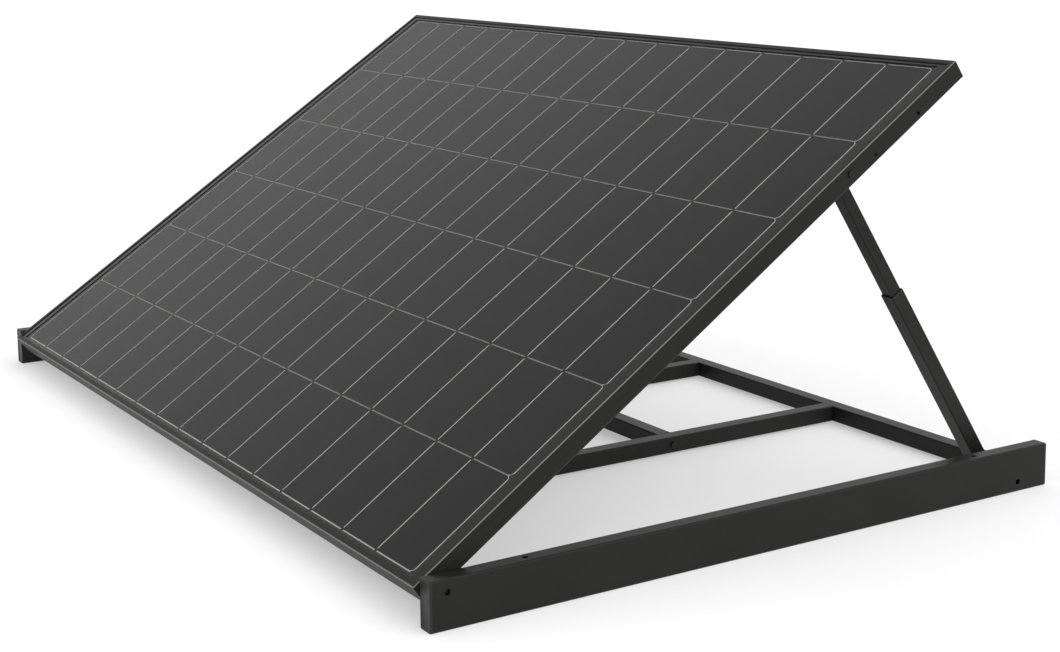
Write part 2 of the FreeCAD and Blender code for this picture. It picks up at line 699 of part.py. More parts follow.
group("pivot_washers", [
    sleeve(f"PivotWasher{sign}", "washer_radius", "pivot_radius + running_gap",
           "washer_thickness", x=f"{sign} * (module_length / 2 + 0.3)", y="pivot_y",
           z="pivot_height", about="0; 1; 0", angle=90 * sign) for sign in (-1, 1)])
group("pivot_nuts", [
    nut(f"PivotNut{sign}", "large_flats", "nut_height", "pivot_radius",
        x=f"{sign} * ({RAIL_INSIDE} + rail_wall)", y="pivot_y", z="pivot_height",
        about="0; 1; 0", angle=90 * sign) for sign in (-1, 1)])


# ---- strut feet: a bolt through each lower tube and spacer into the rail ----

STRUT_INSIDE = "(strut_x - lower_width / 2)"
STRUT_OUTSIDE = "(strut_x + lower_width / 2)"

for side, sign in (("left", -1), ("right", 1)):
    foot = bolt(f"FootBolt{side.title()}", "pivot_radius",
                f"{RAIL_INSIDE} + rail_wall + nut_height - {STRUT_INSIDE} + bolt_start",
                "large_flats", "large_head", x=f"{sign} * ({STRUT_INSIDE} - bolt_start)",
                y="foot_y", z="foot_height", about="0; 1; 0", angle=90 * sign)
    sub_part(foot, f"foot_bolt_{side}")

group("foot_spacers", [
    sleeve(f"FootSpacer{sign}", "2 * pivot_radius", "pivot_radius + 0.1",
           f"{RAIL_INSIDE} - {STRUT_OUTSIDE} - 0.4",
           x=f"{sign} * ({STRUT_OUTSIDE} + 0.4)", y="foot_y", z="foot_height",
           about="0; 1; 0", angle=90 * sign) for sign in (-1, 1)])
group("foot_nuts", [
    nut(f"FootNut{sign}", "large_flats", "nut_height", "pivot_radius",
        x=f"{sign} * ({RAIL_INSIDE} + rail_wall)", y="foot_y", z="foot_height",
        about="0; 1; 0", angle=90 * sign) for sign in (-1, 1)])


# ---- telescopic struts, each built along Z from its foot pivot ----

def strut_lower(side, seat):
    """Outer tube from just past the foot pivot up to its mouth, with the clamp's boss."""
    body = square_tube(f"strut_lower_{side}", "lower_width", "lower_depth", "strut_wall",
                       "lower_tail + lower_reach")
    drill(body, "YZ_Plane", [("0", "lower_tail", "pivot_radius + running_gap")])
    sign = STRUTS[side][1]
    boss = new_sketch(body, "YZ_Plane", f"{-sign} * lower_width / 2")
    circle(boss, "clamp_offset", "lower_tail + clamp_reach", "boss_radius")
    pad(body, boss, "clamp_boss", backwards=sign > 0)
    inner = "-(lower_width / 2 - strut_wall - 0.5)"
    outer = "(lower_width / 2 + clamp_boss + 0.5)"
    drill(body, "YZ_Plane", [("clamp_offset", "lower_tail + clamp_reach", "clamp_hole")],
          offset=inner if sign > 0 else outer, length="strut_wall + clamp_boss + 1")
    return place(body, z="-lower_tail", seat=seat)


def strut_upper(side, seat):
    """Inner tube, which slides in the outer one."""
    body = square_tube(f"strut_upper_{side}", "upper_width", "upper_depth", "strut_wall",
                       "upper_length", 1.6)
    return place(body, z=f"{STRUT_LENGTH} - upper_drop - upper_length", seat=seat)


def strut_collar(side, seat):
    """Moulded guide on the outer tube's mouth, with a skirt down inside it."""
    body = new_body(f"strut_collar_{side}")
    flange = new_sketch(body, "XY_Plane")
    rectangle(flange, "lower_width", "lower_depth")
    rectangle(flange, "upper_width + collar_gap", "upper_depth + collar_gap")
    pad(body, flange, "collar_flange")
    soften(body, 2, outer_edges("lower_width", "lower_depth"))
    skirt = new_sketch(body, "XY_Plane")
    rectangle(skirt, "lower_width - 2 * strut_wall", "lower_depth - 2 * strut_wall")
    rectangle(skirt, "upper_width + collar_gap", "upper_depth + collar_gap")
    pad(body, skirt, "collar_skirt", backwards=True)
    return place(body, z="lower_reach", seat=seat)


def strut_eye(side, seat):
    """Forged end of the inner tube: a plug, a shoulder, and a lug slotted across."""
    body = new_body(f"strut_eye_{side}")
    plug = new_sketch(body, "XY_Plane")
    rectangle(plug, "upper_width - 2 * strut_wall", "upper_depth - 2 * strut_wall")
    pad(body, plug, "eye_plug", backwards=True)
    shoulder = new_sketch(body, "XY_Plane")
    rectangle(shoulder, "upper_width", "upper_depth")
    pad(body, shoulder, "eye_shoulder")
    lug = new_sketch(body, "YZ_Plane", "-lug_gauge / 2")
    polygon(lug, [("-9", "eye_shoulder / 2"), ("9", "eye_shoulder / 2"),
                  ("lug_reach", "upper_drop - 3"), ("lug_reach", "upper_drop + lug_side"),
                  ("lug_flat", "upper_drop + lug_end"), ("-lug_flat", "upper_drop + lug_end"),
                  ("-lug_reach", "upper_drop + lug_side"), ("-lug_reach", "upper_drop - 3")])
    pad(body, lug, "lug_gauge")
    slot = new_sketch(body, "YZ_Plane")
    low, high = "upper_drop - slot_end", "upper_drop + slot_end"
    polygon(slot, [("-slot_reach", "upper_drop - 2"), ("-lug_flat", low), ("lug_flat", low),
                   ("slot_reach", "upper_drop - 2"), ("slot_reach", "upper_drop + 2"),
                   ("lug_flat", high), ("-lug_flat", high), ("-slot_reach", "upper_drop + 2")])
    pocket(body, slot)
    return place(body, z=f"{STRUT_LENGTH} - upper_drop", seat=seat)


def clamp_screw(side, seat):
    """Low thumb screw whose shank passes the outer tube's wall and grips the inner one."""
    sign = STRUTS[side][1]
    name = f"ClampScrew{side.title()}"
    head = cylinder(name + "Head", "clamp_radius", "clamp_head")
    grips = [cylinder(f"{name}Grip{notch}", "grip_radius", "clamp_head",
                      x=f"grip_circle * cos({30 * notch})",
                      y=f"grip_circle * sin({30 * notch})") for notch in range(12)]
    shank = cylinder(name + "Shank", "clamp_shank",
                     "clamp_head + 0.5 + clamp_boss + strut_wall + 0.4")
    screw = fuse(name, cut(name + "Knurled", head, *grips), shank)
    place(screw, x=f"{-sign} * (lower_width / 2 + clamp_boss + 0.5 + clamp_head)",
          y="clamp_offset", z="clamp_reach", about="0; 1; 0", angle=90 * sign, seat=seat)
    return sub_part(screw, f"clamp_screw_{side}")


def foot_bush(side, seat):
    """Sleeve between the outer tube's walls, so that the foot bolt can't crush it."""
    inside = "(lower_width - 2 * strut_wall)"
    bush = sleeve(f"Bush{side.title()}", "bush_radius", "pivot_radius + running_gap", inside,
                  x=f"-{inside} / 2", about="0; 1; 0", angle=90, seat=seat)
    return sub_part(bush, f"foot_bush_{side}")


for side, (seat, sign) in STRUTS.items():
    strut_lower(side, seat)
    strut_upper(side, seat)
    strut_collar(side, seat)
    strut_eye(side, seat)
    clamp_screw(side, seat)
    foot_bush(side, seat)


# ---- the strut bolts in the module's side members ----

def eye_bolt(side, sign):
    """Bolt from outside the frame, through its chamber, a spacer and the strut's lug."""
    length = "(module_length / 2 - strut_x + 12)"
    item = bolt(f"EyeBolt{side.title()}", "eye_bolt_radius", length, "small_flats", "low_head",
                x=f"{sign} * module_length / 2", y="eye_slope", z="-eye_drop",
                about="0; 1; 0", angle=-90 * sign, seat="ModuleSeat")
    return sub_part(item, f"eye_bolt_{side}")


for side, sign in (("left", -1), ("right", 1)):
    eye_bolt(side, sign)

group("eye_spacers", [
    sleeve(f"EyeSpacer{sign}", "spacer_radius", "eye_bolt_radius + 0.1",
           "module_length / 2 - lip_width - strut_x - eye_nut_gap",
           x=f"{sign} * (module_length / 2 - lip_width)", y="eye_slope", z="-eye_drop",
           about="0; 1; 0", angle=-90 * sign, seat="ModuleSeat") for sign in (-1, 1)])
group("eye_nuts", [
    nut(f"EyeNut{sign}", "small_flats", "eye_nut_height", "eye_bolt_radius",
        x=f"{sign} * (strut_x - eye_nut_gap)", y="eye_slope", z="-eye_drop",
        about="0; 1; 0", angle=-90 * sign, seat="ModuleSeat") for sign in (-1, 1)])


# ---- check every object, then write each sub-part ----

doc.recompute()
for item in doc.Objects:
    if "Invalid" in item.State or "Error" in item.State:
        raise RuntimeError(f"{item.Name} is {item.State}")
os.makedirs("parts", exist_ok=True)
for item in SUB_PARTS:
    if item.Shape.isNull() or not item.Shape.isValid() or not item.Shape.Solids:
        raise RuntimeError(f"{item.Label} has no valid solid")
for item in SUB_PARTS:
    item.Shape.exportStep(f"parts/{item.Label}.step")
print(len(SUB_PARTS), "sub-parts written")
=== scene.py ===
# A framed photovoltaic module on a tilting ground stand of black steel tube.
# Metres. +X runs along the module's long side, +Y from its low edge to its high one.

import math
import bmesh
import bpy
from mathutils import Matrix, Vector


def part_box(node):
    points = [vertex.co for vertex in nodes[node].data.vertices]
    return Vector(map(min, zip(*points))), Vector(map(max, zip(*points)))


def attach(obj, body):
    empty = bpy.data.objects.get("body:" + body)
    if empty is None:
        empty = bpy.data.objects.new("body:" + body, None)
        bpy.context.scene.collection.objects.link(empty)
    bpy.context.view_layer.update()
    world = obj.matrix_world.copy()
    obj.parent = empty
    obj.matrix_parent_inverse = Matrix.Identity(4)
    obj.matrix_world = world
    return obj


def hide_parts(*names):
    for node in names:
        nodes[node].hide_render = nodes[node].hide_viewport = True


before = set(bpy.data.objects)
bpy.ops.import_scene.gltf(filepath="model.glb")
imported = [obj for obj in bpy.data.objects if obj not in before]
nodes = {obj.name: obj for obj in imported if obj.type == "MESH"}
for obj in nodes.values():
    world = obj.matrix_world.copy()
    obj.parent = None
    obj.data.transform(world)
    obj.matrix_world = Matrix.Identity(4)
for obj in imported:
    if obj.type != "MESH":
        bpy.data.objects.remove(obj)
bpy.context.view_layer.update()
scene = bpy.context.scene


# ---- Viewpoint ----
# A long lens stands by the stand's near front corner, a little above the module's
# high edge, so that the near rail runs back across the view.

camera = bpy.data.objects.new("Camera", bpy.data.cameras.new("Camera"))
camera.location = (2.9148, -1.6016, 0.8994)
camera.rotation_euler = (math.radians(90 - 8.7476), 0, math.radians(55.2283))
camera.data.lens = 62.378
camera.data.shift_x = -0.11605
camera.data.shift_y = -0.11175
scene.collection.objects.link(camera)
scene.camera = camera


# ---- Side rails and the grid of square tube ----
# Drawn mild steel tube, cut, drilled and sprayed with black polyester powder. Baking
# leaves a satin skin like fine orange peel, drawn thin and a little paler on edges, where the
# paleness is also a painted highlight.

class Wire:
    """One output of a node. Arithmetic on it adds Math nodes."""

    def __init__(self, bench, socket):
        self.bench = bench
        self.socket = socket

    def __getitem__(self, name):
        return Wire(self.bench, self.socket.node.outputs[name])

    def maths(self, operation, *values):
        return self.bench.node("ShaderNodeMath", {"operation": operation},
                               dict(enumerate(values)))

    def __add__(self, other):
        return self.maths("ADD", self, other)

    def __sub__(self, other):
        return self.maths("SUBTRACT", self, other)

    def __rsub__(self, other):
        return self.maths("SUBTRACT", other, self)

    def __mul__(self, other):
        return self.maths("MULTIPLY", self, other)

    def __truediv__(self, other):
        return self.maths("DIVIDE", self, other)

    def __pow__(self, other):
        return self.maths("POWER", self, other)

    def near(self, value, reach):
        """One where this lies within a reach of a value, and nought elsewhere."""
        return self.maths("COMPARE", self, value, reach)

    def greatest(self, other):
        return self.maths("MAXIMUM", self, other)

    def above(self, other):
        """How far this is above a value, and nought below it."""
        return (self - other).greatest(0.0)

    def whole(self):
        return self.maths("FLOOR", self)

    def remainder(self):
        return self.maths("FRACT", self)

    def __abs__(self):
        return self.maths("ABSOLUTE", self)

    __radd__ = __add__
    __rmul__ = __mul__


class Bench:
    """A node tree, and the one way in which nodes are put into it."""

    def node(self, kind, settings=None, inputs=None):
        """Add a node: its settings first, then the values or links of its sockets."""
        node = self.tree.nodes.new(kind)
        for name, value in (settings or {}).items():
            setattr(node, name, value)
        for name, value in (inputs or {}).items():
            if isinstance(value, Wire):
                self.tree.links.new(value.socket, node.inputs[name])
            else:
                node.inputs[name].default_value = value
        return Wire(self, node.outputs[0]) if node.outputs else node


class Finish(Bench):
    """A surface finish: one material of shader nodes."""

    def __init__(self, name):
        self.material = bpy.data.materials.new(name)
        self.material.use_nodes = True
        self.tree = self.material.node_tree
        self.tree.nodes.clear()

    def spot(self, turn=(0, 0, 0), shift=(0, 0, 0), stretch=(1, 1, 1)):
        """Where a point lies, in metres, turned, shifted and then stretched."""
        where = self.node("ShaderNodeMapping", {}, {
            "Vector": self.node("ShaderNodeTexCoord")["Object"],
            "Rotation": turn, "Location": shift})
        return self.node("ShaderNodeVectorMath", {"operation": "MULTIPLY"},
                         {0: where, 1: stretch})

    def noise(self, spot, scale, detail=2.0):
        return self.node("ShaderNodeTexNoise", {}, {
            "Vector": spot, "Scale": scale, "Detail": detail})["Fac"]

    def within(self, value, low, high):
        """Nought below low, one above high, and a smooth rise between them."""
        return self.node("ShaderNodeMapRange", {"interpolation_type": "SMOOTHSTEP"}, {
            "Value": value, "From Min": low, "From Max": high})

    def between(self, share, low, high):
        """A colour part of the way from low to high."""
        return self.node("ShaderNodeMix", {"data_type": "RGBA"}, {
            0: share, 6: low if isinstance(low, Wire) else (*low, 1),
            7: (*high, 1)})["Result"]

    def soft_edge(self, radius):
        """A normal rounded over the piece's edges, and how near an edge a point is."""
        rounded = self.node("ShaderNodeBevel", {"samples": 6}, {"Radius": radius})
        flat = self.node("ShaderNodeNewGeometry")["Normal"]
        agreed = self.node("ShaderNodeVectorMath", {"operation": "DOT_PRODUCT"},
                           {0: rounded, 1: flat})["Value"]
        return rounded, self.within(1 - agreed, 0.02, 0.25)

    def relief(self, height, depth, normal=None):
        """A normal that follows a height map of that depth in metres."""
        inputs = {"Height": height, "Distance": depth, "Strength": 1.0}
        if normal is not None:
            inputs["Normal"] = normal
        return self.node("ShaderNodeBump", {}, inputs)

    def surface(self, **inputs):
        """Finish with one Principled surface; names use underscores for spaces."""
        named = {name.replace("_", " "): value for name, value in inputs.items()}
        self.node("ShaderNodeOutputMaterial", {}, {
            "Surface": self.node("ShaderNodeBsdfPrincipled", {}, named)})
        return self.material


def dress(material, *names):
    """Give CAD nodes a finish."""
    for name in names:
        for holder in nodes[name].material_slots:
            holder.material = material


def powder_coat(name, black, worn, gloss):
    finish = Finish(name)
    spot = finish.spot()
    peel = finish.noise(spot, 900, 1.5)
    cloud = finish.noise(spot, 5, 3)
    rounded, edge = finish.soft_edge(0.0014)
    dust = finish.within(finish.noise(spot, 60, 4), 0.55, 0.8)
    # Edges are paler partly for thin, rubbed coat and partly as a painted highlight.
    colour = finish.between(cloud * 0.35 + dust * 0.12 + edge * 0.55, black, worn)
    return finish.surface(
        Base_Color=colour, Roughness=gloss + peel * 0.10 + cloud * 0.06 - edge * 0.06,
        Specular_IOR_Level=0.14, Normal=finish.relief(peel, 0.000035, rounded))


POWDER_BLACK = (0.0098, 0.0098, 0.0092)
POWDER_WORN_AND_HIGHLIT = (0.033, 0.033, 0.0313)
black_powder = powder_coat("black_powder_coat", POWDER_BLACK, POWDER_WORN_AND_HIGHLIT, 0.34)
dress(black_powder, "side_rail_left", "side_rail_right", "front_crossbar", "rear_crossbar",
      "long_bar_left", "long_bar_middle", "long_bar_right", "mid_bar_left", "mid_bar_right",
      "corner_brackets")


# ---- Rail end caps ----
# Polypropylene plugs tapped into both ends of each rail. The flange has a rounded rim
# and a shallow dish, and its moulded grain is greyer than the powder coat beside it.

CAP_CORNER = 0.003
CAP_RIM = 0.0011
CAP_DISH = 0.0005
PLUG_SHY, PLUG_CORNER, PLUG_DEPTH = 0.0034, 0.002, 0.0118
DISH_EDGE_SHY, DISH_EDGE_CORNER = 0.0055, 0.0016
DISH_FLOOR_SHY, DISH_FLOOR_CORNER = 0.0070, 0.0012


def rounded_outline(width, height, radius, steps=6):
    """Points round a rectangle with rounded corners, in order."""
    points = []
    for quarter in range(4):
        middle_x = (width / 2 - radius) * (1 if quarter in (0, 3) else -1)
        middle_y = (height / 2 - radius) * (1 if quarter in (0, 1) else -1)
        for step in range(steps + 1):
            turn = math.pi / 2 * (quarter + step / steps)
            points.append((middle_x + radius * math.cos(turn),
                           middle_y + radius * math.sin(turn)))
    return points


def rounded_rim(width, height, corner, radius, top, shares=(0, 0.5, 1), kept_corner=False):
    """Outlines, each with its height, that turn a plate's side over into its top."""
    for share in shares:
        inset = radius * (1 - math.cos(share * math.pi / 2))
        rise = radius * math.sin(share * math.pi / 2)
        tight = corner if kept_corner else corner - inset
        yield (rounded_outline(width - 2 * inset, height - 2 * inset, tight),
               top - radius + rise)


def loft(shape, rings, place, ring_round=False):
    """Skin a stack of outlines, each with its height, and close its ends or its ring."""
    levels = [[shape.verts.new(place @ Vector((x, y, height))) for x, y in outline]
              for outline, height in rings]
    pairs = list(zip(levels, levels[1:]))
    if ring_round:
        pairs.append((levels[-1], levels[0]))
    else:
        shape.faces.new(levels[0][::-1])
        shape.faces.new(levels[-1])
    for lower, upper in pairs:
        for index, corner in enumerate(lower):
            after = (index + 1) % len(lower)
            shape.faces.new((corner, lower[after], upper[after], upper[index]))


def piece(name, shape, body, material, replaces, smooth=40):
    """Turn a finished shape into an object that rides on a body in place of CAD nodes."""
    mesh = shape
    if isinstance(shape, bmesh.types.BMesh):
        bmesh.ops.recalc_face_normals(shape, faces=shape.faces)
        mesh = bpy.data.meshes.new(name)
        shape.to_mesh(mesh)
        shape.free()
        mesh.materials.append(material)
    mesh.shade_smooth()
    mesh.set_sharp_from_angle(angle=math.radians(smooth))
    thing = bpy.data.objects.new(name, mesh)
    scene.collection.objects.link(thing)
    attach(thing, body)
    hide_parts(*replaces)


def moulding(name, black, grey, grain, gloss):
    """Injection-moulded plastic with a spark-eroded grain."""
    finish = Finish(name)
    spot = finish.spot()
    fine = finish.noise(spot, grain, 3)
    scuff = finish.within(finish.noise(finish.spot(stretch=(1, 1, 0.2)), 240, 5), 0.6, 0.8)
    rounded, edge = finish.soft_edge(0.0008)
    colour = finish.between(fine * 0.4 + edge * 0.4 + scuff * 0.2, black, grey)
    return finish.surface(
        Base_Color=colour, Roughness=gloss + fine * 0.12, Specular_IOR_Level=0.25,
        Normal=finish.relief(fine, 0.00004, rounded))


cap_plastic = moulding("cap_polypropylene", (0.012, 0.012, 0.0116), (0.034, 0.034, 0.0325),
                       1600, 0.42)

for side in ("left", "right"):
    for end, out in (("front", -1), ("rear", 1)):
        node = f"rail_cap_{end}_{side}"
        low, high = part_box(node)
        rail_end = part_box(f"side_rail_{side}")[0 if out < 0 else 1].y
        flange = abs((low.y if out < 0 else high.y) - rail_end)
        width, height = high.x - low.x, high.z - low.z
        place = (Matrix.Translation(((low.x + high.x) / 2, rail_end, (low.z + high.z) / 2))
                 @ Matrix.Rotation(-out * math.pi / 2, 4, "X"))
        plug = rounded_outline(width - PLUG_SHY, height - PLUG_SHY, PLUG_CORNER)
        rings = [
            (plug, -PLUG_DEPTH), (plug, 0), (rounded_outline(width, height, CAP_CORNER), 0),
            *rounded_rim(width, height, CAP_CORNER, CAP_RIM, flange, (0, 0.33, 0.67, 1)),
            (rounded_outline(width - DISH_EDGE_SHY, height - DISH_EDGE_SHY,
                             DISH_EDGE_CORNER), flange),
            (rounded_outline(width - DISH_FLOOR_SHY, height - DISH_FLOOR_SHY,
                             DISH_FLOOR_CORNER), flange - CAP_DISH)]
        cap = bmesh.new()
        loft(cap, rings, place)
        piece(f"Rail_cap_{end}_{side}", cap, "stand", cap_plastic, [node])


# ---- Bolts of the base ----
# M6 hexagon bolts with pressed-on washers, black zinc plated. They screw into the
# moulded inserts in the tube ends, and through the corner brackets.

class Pattern(Bench):
    """Geometry nodes that repeat a shape on the points of a mesh."""

    def __init__(self, name, sizes):
        self.tree = bpy.data.node_groups.new(name, "GeometryNodeTree")
        face = self.tree.interface
        face.new_socket("Geometry", in_out="OUTPUT", socket_type="NodeSocketGeometry")
        face.new_socket("Points", in_out="INPUT", socket_type="NodeSocketGeometry")
        face.new_socket("Material", in_out="INPUT", socket_type="NodeSocketMaterial")
        for size, value in sizes.items():
            kind = "NodeSocketInt" if isinstance(value, int) else "NodeSocketFloat"
            socket = face.new_socket(size, in_out="INPUT", socket_type=kind)
            socket.default_value = value
        self.given = self.node("NodeGroupInput")

    def stood(self, shape, height):
        """A shape moved up its own Z."""
        offset = self.node("ShaderNodeCombineXYZ", {}, {"Z": height})
        return self.node("GeometryNodeTransform", {}, {"Geometry": shape,
                                                       "Translation": offset})

    def joined(self, *shapes):
        whole = self.node("GeometryNodeJoinGeometry")
        for shape in shapes:
            self.tree.links.new(shape.socket, whole.socket.node.inputs[0])
        return whole

    def set_out(self, shape):
        """A copy of a shape on each point, turned the way the point is aimed."""
        aim = self.node("GeometryNodeInputNamedAttribute", {"data_type": "FLOAT_VECTOR"},
                        {"Name": "aim"})
        turn = self.node("FunctionNodeAlignRotationToVector", {"axis": "Z"}, {"Vector": aim})
        return self.node("GeometryNodeInstanceOnPoints", {}, {
            "Points": self.given["Points"], "Instance": shape, "Rotation": turn})

    def close(self, shape):
        """Make the copies real, give them their material and end the tree."""
        real = self.node("GeometryNodeRealizeInstances", {}, {"Geometry": shape})
        dressed = self.node("GeometryNodeSetMaterial", {}, {
            "Geometry": real, "Material": self.given["Material"]})
        self.node("NodeGroupOutput", {}, {"Geometry": dressed})

    def mesh(self, name, points, material, **sizes):
        """The plain mesh that the pattern makes on these points."""
        thing = bpy.data.objects.new(name, points)
        scene.collection.objects.link(thing)
        modifier = thing.modifiers.new("Pattern", "NODES")
        modifier.node_group = self.tree
        wanted = {"Material": material, **{size.replace("_", " "): value
                                           for size, value in sizes.items()}}
        for item in self.tree.interface.items_tree:
            if item.in_out == "INPUT" and item.name in wanted:
                modifier[item.identifier] = wanted[item.name]
        depsgraph = bpy.context.evaluated_depsgraph_get()
        result = bpy.data.meshes.new_from_object(thing.evaluated_get(depsgraph))
        thing.modifiers.clear()
        bpy.data.objects.remove(thing)
        result.name = name
        return result


def aimed_points(name, spots):
    """A mesh of loose points, each with the way its copy is aimed."""
    mesh = bpy.data.meshes.new(name)
    mesh.from_pydata([place for place, aim in spots], [], [])
    aims = mesh.attributes.new("aim", "FLOAT_VECTOR", "POINT")
    for index, (place, aim) in enumerate(spots):
        aims.data[index].vector = aim
    return mesh


def bolt_pattern():
    """A flanged hexagon bolt, its head on the point and its shank behind it."""
    tree = Pattern("Hexagon bolts", {"Flats": 0.010, "Head": 0.004, "Washer": 0.0062,
                                     "Shank": 0.00295, "Length": 0.048})
    corner = tree.given["Flats"] / (2 * math.cos(math.pi / 6))
    head = tree.given["Head"]
    washer_thickness = head * 0.22
    prism = tree.node("GeometryNodeMeshCylinder", {}, {
        "Vertices": 6, "Radius": corner, "Depth": head * 0.60})
    crown = tree.node("GeometryNodeMeshCone", {}, {
        "Vertices": 6, "Radius Top": corner * 0.80, "Radius Bottom": corner,
        "Depth": head * 0.18})
    washer = tree.node("GeometryNodeMeshCylinder", {}, {
        "Vertices": 28, "Radius": tree.given["Washer"], "Depth": washer_thickness})
    shank = tree.node("GeometryNodeMeshCylinder", {}, {
        "Vertices": 20, "Radius": tree.given["Shank"], "Depth": tree.given["Length"]})
    bolt = tree.joined(
        tree.stood(washer, washer_thickness / 2),
        tree.stood(prism, head * 0.52), tree.stood(crown, head * 0.82),
        tree.stood(shank, tree.given["Length"] * -0.5))
    tree.close(tree.set_out(bolt))
    return tree


def black_zinc():
    """Black passivate over zinc: dark, a little metallic, bright where it is rubbed."""
    finish = Finish("black_zinc_plate")
    spot = finish.spot()
    bloom = finish.noise(spot, 420, 4)
    rounded, edge = finish.soft_edge(0.0005)
    rubbed = edge * 0.5 + finish.within(bloom, 0.6, 0.75) * 0.25
    return finish.surface(
        Base_Color=finish.between(rubbed, (0.009, 0.009, 0.009), (0.085, 0.085, 0.082)),
        Metallic=0.3, Roughness=0.34 + bloom * 0.2, Specular_IOR_Level=0.3, Normal=rounded)


TUBE_BOLT_LENGTH = 0.048
BRACKET_BOLT_LENGTH = 0.012
BRACKET_GAUGE = 0.0025
BRACKET_BOLT_INSET = 0.018
BRACKET_BOLT_HEIGHT = 0.050

black_plate = black_zinc()
hexagon_bolts = bolt_pattern()
front_bar, rear_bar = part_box("front_crossbar"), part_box("rear_crossbar")
bar_height = (front_bar[0].z + front_bar[1].z) / 2


def middle_of(node):
    low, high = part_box(node)
    return (low + high) / 2


long_spots = []
for side in ("left", "middle", "right"):
    x = middle_of(f"long_bar_{side}").x
    long_spots.append(((x, front_bar[0].y, bar_height), (0, -1, 0)))
    long_spots.append(((x, rear_bar[1].y, bar_height), (0, 1, 0)))
mid_y = middle_of("mid_bar_left").y
mid_spots = [((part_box("long_bar_left")[0].x, mid_y, bar_height), (-1, 0, 0)),
             ((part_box("long_bar_right")[1].x, mid_y, bar_height), (1, 0, 0))]
short_spots = []
for out in (-1, 1):
    face = abs(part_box("side_rail_right")[0].x)
    for bar in (front_bar, rear_bar):
        y = (bar[0].y + bar[1].y) / 2
        short_spots.append(((out * (face - BRACKET_BOLT_INSET), y,
                             bar[1].z + BRACKET_GAUGE), (0, 0, 1)))
        short_spots.append(((out * (face - BRACKET_GAUGE), y, BRACKET_BOLT_HEIGHT),
                            (-out, 0, 0)))
for name, spots, length, node in (
        ("Long_bar_bolts", long_spots, TUBE_BOLT_LENGTH, "long_bar_bolts"),
        ("Mid_bar_bolts", mid_spots, TUBE_BOLT_LENGTH, "mid_bar_bolts"),
        ("Bracket_bolts", short_spots, BRACKET_BOLT_LENGTH, "bracket_bolts")):
    bolts = hexagon_bolts.mesh(name, aimed_points(name, spots), black_plate, Length=length)
    piece(name, bolts, "stand", black_plate, [node], smooth=25)

dress(black_plate, "mid_bar_studs", "pivot_bolt_left", "pivot_bolt_right", "pivot_nuts",
      "foot_bolt_left", "foot_bolt_right", "foot_nuts", "eye_bolt_left", "eye_bolt_right",
      "eye_nuts")
dress(cap_plastic, "tube_end_inserts")


# ---- Pivot washers, spacers and bushes ----
# Turned nylon washers between module and rail, and bright zinc-plated steel tube cut
# to length for the strut's spacers and the bush through its foot.

def dyed_nylon():
    finish = Finish("dyed_nylon")
    grain = finish.noise(finish.spot(stretch=(8, 1, 1)), 500, 3)
    return finish.surface(
        Base_Color=finish.between(grain, (0.05, 0.05, 0.05), (0.09, 0.09, 0.088)),
        Roughness=0.40 + grain * 0.15, Normal=finish.relief(grain, 0.00002))


def bright_zinc():
    finish = Finish("bright_zinc_plate")
    spangle = finish.noise(finish.spot(stretch=(12, 1, 1)), 260, 4)
    return finish.surface(
        Base_Color=finish.between(spangle, (0.42, 0.43, 0.46), (0.62, 0.63, 0.64)),
        Metallic=1.0, Roughness=0.26 + spangle * 0.2,
        Normal=finish.relief(spangle, 0.00002))


dress(dyed_nylon(), "pivot_washers")
dress(bright_zinc(), "foot_bush_left", "foot_bush_right", "foot_spacers", "eye_spacers")


# ---- Telescopic struts ----
# Two steel tubes, one sliding in the other, powder coated like the rails. The inner
# tube's coat is burnished along its length where the moulded collar guides it.

STRUT_ELEVATION = 57.075
STRUT_LEAN = math.radians(90 - STRUT_ELEVATION)


def burnished_powder():
    finish = Finish("burnished_powder_coat")
    along = finish.spot(turn=(-STRUT_LEAN, 0, 0), stretch=(1, 1, 0.03))
    rub = finish.within(finish.noise(along, 320, 4), 0.45, 0.75)
    peel = finish.noise(finish.spot(), 900, 1.5)
    rounded, edge = finish.soft_edge(0.0012)
    return finish.surface(
        # Edges are paler partly for rubbed coat and partly as a painted highlight.
        Base_Color=finish.between(rub * 0.3 + edge * 0.5, POWDER_BLACK, POWDER_WORN_AND_HIGHLIT),
        Roughness=0.30 + peel * 0.10 - rub * 0.06, Specular_IOR_Level=0.14,
        Normal=finish.relief(peel, 0.000025, rounded))


sliding_powder = burnished_powder()
for side in ("left", "right"):
    dress(black_powder, f"strut_lower_{side}")
    dress(sliding_powder, f"strut_upper_{side}")
    dress(black_plate, f"strut_eye_{side}")


# ---- Strut collars and clamp screws ----
# A moulded collar is pressed into each outer tube's mouth. Below it, on the strut's
# inner side, a low ribbed screw grips the inner tube to hold the tilt.

STRUT_DEPTH = 0.025
STRUT_MOUTH = 0.380
COLLAR_FLANGE, COLLAR_ROUND, COLLAR_CORNER = 0.003, 0.0009, 0.0022
SKIRT_SHY, SKIRT_DEPTH = 0.0031, 0.0178
BORE_SHY, BORE_CORNER = 0.0041, 0.0018
FLARE, FLARE_CORNER, FLARE_DEPTH = 0.0006, 0.002, 0.0005
WHEEL_HEIGHT = 0.0045
CLAMP_SHANK_RADIUS = 0.003


def strut_frame(side):
    """The strut's own frame: Z up its length from its foot bolt."""
    foot = middle_of(f"foot_bush_{side}")
    return Matrix.Translation(foot) @ Matrix.Rotation(STRUT_LEAN, 4, "X")


